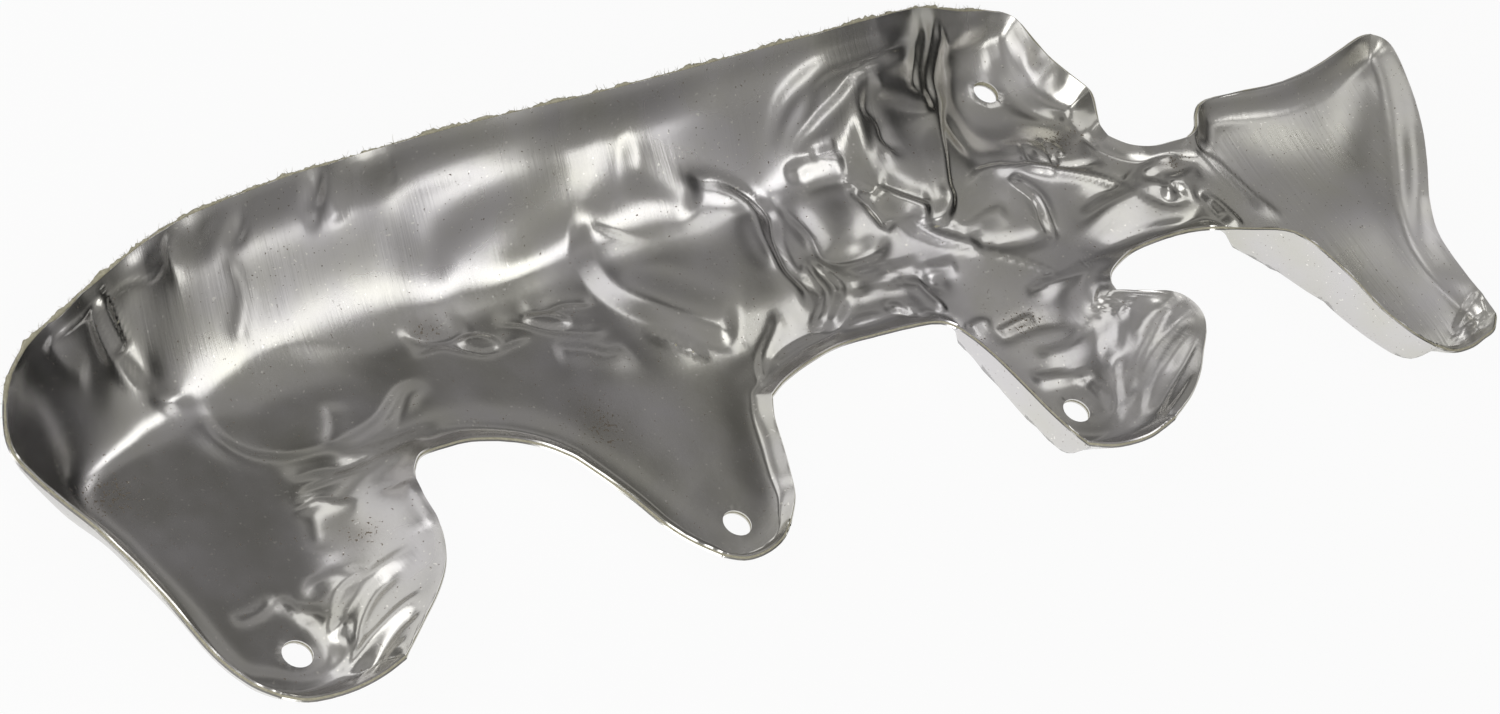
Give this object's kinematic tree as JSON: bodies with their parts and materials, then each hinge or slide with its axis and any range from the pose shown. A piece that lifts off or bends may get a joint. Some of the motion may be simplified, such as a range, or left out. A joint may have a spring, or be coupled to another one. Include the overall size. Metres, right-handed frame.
{
  "type": "exhaust heat shield",
  "caption": "Pressed tray-shaped heat shield for an exhaust manifold: two thin bright sheets round a fibre mat, with port lobes, a rear tab and a raised wing.",
  "frame": {"origin": "middle of the bounding box in X and Y, at the lowest point of the underside", "axes": "+X along the row of ports towards the raised wing, +Y towards the straight back edge, +Z along the bolts towards the hollow side"},
  "size_m": [0.432, 0.135, 0.0304],
  "materials": {
    "bright_sheet": "bright, satin along the back band and mirror-like elsewhere",
    "mat": "matt fibre"
  },
  "bodies": {
    "root": {"inner_skin": "bright_sheet", "fibre_mat": "mat", "outer_skin": "bright_sheet"}
  },
  "joints": []
}
